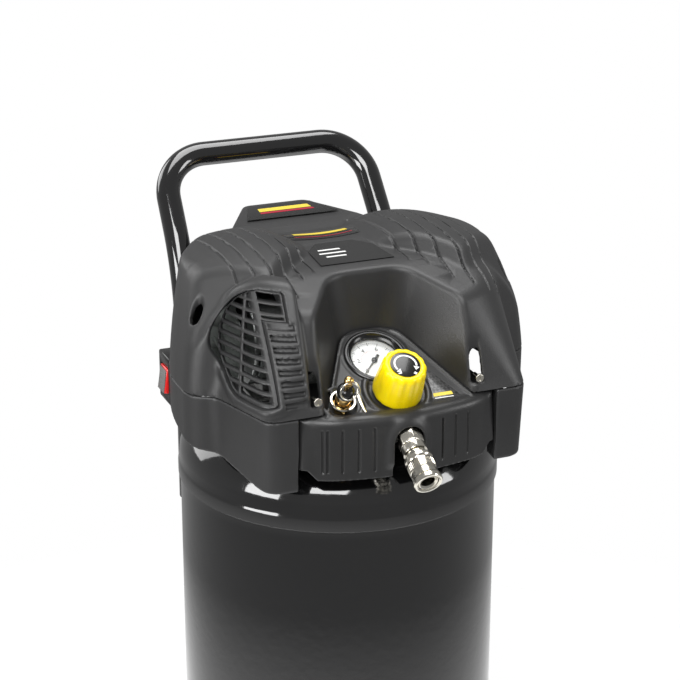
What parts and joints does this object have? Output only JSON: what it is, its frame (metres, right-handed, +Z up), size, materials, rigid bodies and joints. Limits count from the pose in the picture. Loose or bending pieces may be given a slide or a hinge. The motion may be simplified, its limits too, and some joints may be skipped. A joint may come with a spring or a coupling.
{
  "type": "air compressor",
  "caption": "Upright oil-free air compressor: tall painted tank on two wheels and a foot, bent tube handle, and a pump under a moulded cover with gauge, regulator knob and quick coupler.",
  "frame": {"origin": "on the floor, under the middle of the outline", "axes": "+Z up, -Y towards the console and outlet, +X to the right of a person facing the console"},
  "size_m": [0.312, 0.408, 0.7733],
  "materials": {
    "tank_paint": "gloss black",
    "cover_plastic": "fine satin grain",
    "wheel_plastic": "moulded",
    "gauge_black": "gloss",
    "fan_plastic": "moulded",
    "label_black": "printed film",
    "dial_white": "printed",
    "lens_clear": "clear",
    "knob_yellow": "satin",
    "rocker_red": "gloss",
    "brass": "turned",
    "nickel": "nickel plate, slightly warm",
    "plain_steel": "plain",
    "cast_aluminium": "as cast",
    "laminate": "stacked laminations",
    "copper": "bright copper",
    "rubber": "moulded",
    "tyre": "solid rubber"
  },
  "bodies": {
    "frame": {"tank_shell": "tank_paint", "top_head": "tank_paint", "bottom_head": "tank_paint", "handle_tube": "tank_paint", "handle_bracket_left": "tank_paint", "handle_bracket_right": "tank_paint", "axle_bracket_left": "tank_paint", "axle_bracket_right": "tank_paint", "front_foot_bracket": "tank_paint", "drain_valve_body": "brass", "axle": "plain_steel", "foot_pad": "rubber", "upper_cover": "cover_plastic", "side_grille": "cover_plastic", "lower_shroud": "cover_plastic", "console_panel": "cover_plastic", "cover_screw_left": "nickel", "cover_screw_right": "nickel", "gauge_case": "gauge_black", "gauge_dial": "dial_white", "gauge_lens": "lens_clear", "regulator_body": "cast_aluminium", "safety_valve_body": "brass", "coupler_adapter": "nickel", "coupler_body": "nickel", "manifold_block": "cast_aluminium", "pressure_switch_box": "gauge_black", "switch_cable_gland": "rubber", "motor_stator": "laminate", "motor_end_shield": "cast_aluminium", "motor_bearing_rear": "plain_steel", "motor_bearing_front": "plain_steel", "start_capacitor": "gauge_black", "crankcase": "cast_aluminium", "cylinder_sleeve": "cast_aluminium", "cylinder_head": "cast_aluminium", "pump_base": "plain_steel", "rubber_mount_left": "rubber", "rubber_mount_right": "rubber", "discharge_tube": "copper", "check_valve": "brass"},
    "rotor": {"motor_rotor": "laminate", "motor_shaft": "plain_steel", "cooling_fan": "fan_plastic", "crank_disc": "plain_steel"},
    "piston": {"piston_rod": "cast_aluminium", "piston_seal": "rubber"},
    "regulator_spindle": {"regulator_screw": "brass"},
    "regulator_cap": {"regulator_knob": "knob_yellow", "regulator_knob_label": "label_black"},
    "needle": {"gauge_needle": "gauge_black"},
    "relief_stem": {"safety_valve_stem": "brass"},
    "relief_ring": {"safety_valve_ring": "nickel"},
    "rocker": {"switch_rocker": "rocker_red"},
    "outlet_sleeve": {"coupler_sleeve": "nickel"},
    "left_wheel": {"wheel_tyre_left": "tyre", "wheel_hub_left": "wheel_plastic"},
    "right_wheel": {"wheel_tyre_right": "tyre", "wheel_hub_right": "wheel_plastic"},
    "drain_knob": {"drain_valve_knob": "brass"}
  },
  "joints": [
    {"name": "rotor_spin", "type": "hinge", "parent": "frame", "child": "rotor", "pos_m": [0, 0.005, 0.66], "axis": [1, 0, 0], "continuous": true},
    {"name": "piston_stroke", "type": "slide", "parent": "frame", "child": "piston", "axis": [0, 1, 0], "range_m": [-0.009, 0.009]},
    {"name": "regulator_turn", "type": "hinge", "parent": "frame", "child": "regulator_spindle", "pos_m": [0.002, -0.13123, 0.6463], "axis": [0, -0.5, 0.866], "range_deg": [-540, 540]},
    {"name": "regulator_lift", "type": "slide", "parent": "regulator_spindle", "child": "regulator_cap", "axis": [0, -0.5, 0.866], "range_m": [0, 0.0035]},
    {"name": "needle_swing", "type": "hinge", "parent": "frame", "child": "needle", "pos_m": [-0.003, -0.09039, 0.65256], "axis": [0, -0.5, 0.866], "range_deg": [-270, 0], "stiffness_Nm_per_rad": 0.0002, "springref_deg": 11.46},
    {"name": "relief_lift", "type": "slide", "parent": "frame", "child": "relief_stem", "axis": [0, -0.5, 0.866], "range_m": [0, 0.002], "stiffness_N_per_m": 1500, "springref_m": -0.002},
    {"name": "relief_ring_swing", "type": "hinge", "parent": "relief_stem", "child": "relief_ring", "pos_m": [-0.048, -0.14437, 0.66066], "axis": [1, 0, 0], "range_deg": [-90, 4]},
    {"name": "switch_rock", "type": "hinge", "parent": "frame", "child": "rocker", "pos_m": [-0.149, 0.022, 0.6164], "axis": [0, 1, 0], "range_deg": [-14, 0]},
    {"name": "outlet_sleeve_slide", "type": "slide", "parent": "frame", "child": "outlet_sleeve", "axis": [0, 0.866, 0.5], "range_m": [0, 0.004], "stiffness_N_per_m": 1200, "springref_m": -0.002},
    {"name": "left_wheel_roll", "type": "hinge", "parent": "frame", "child": "left_wheel", "pos_m": [-0.143, 0.115, 0.075], "axis": [1, 0, 0], "continuous": true},
    {"name": "right_wheel_roll", "type": "hinge", "parent": "frame", "child": "right_wheel", "pos_m": [0.143, 0.115, 0.075], "axis": [1, 0, 0], "continuous": true},
    {"name": "drain_turn", "type": "hinge", "parent": "frame", "child": "drain_knob", "pos_m": [0, 0, 0.035], "axis": [0, 0, 1], "range_deg": [0, 540]}
  ]
}
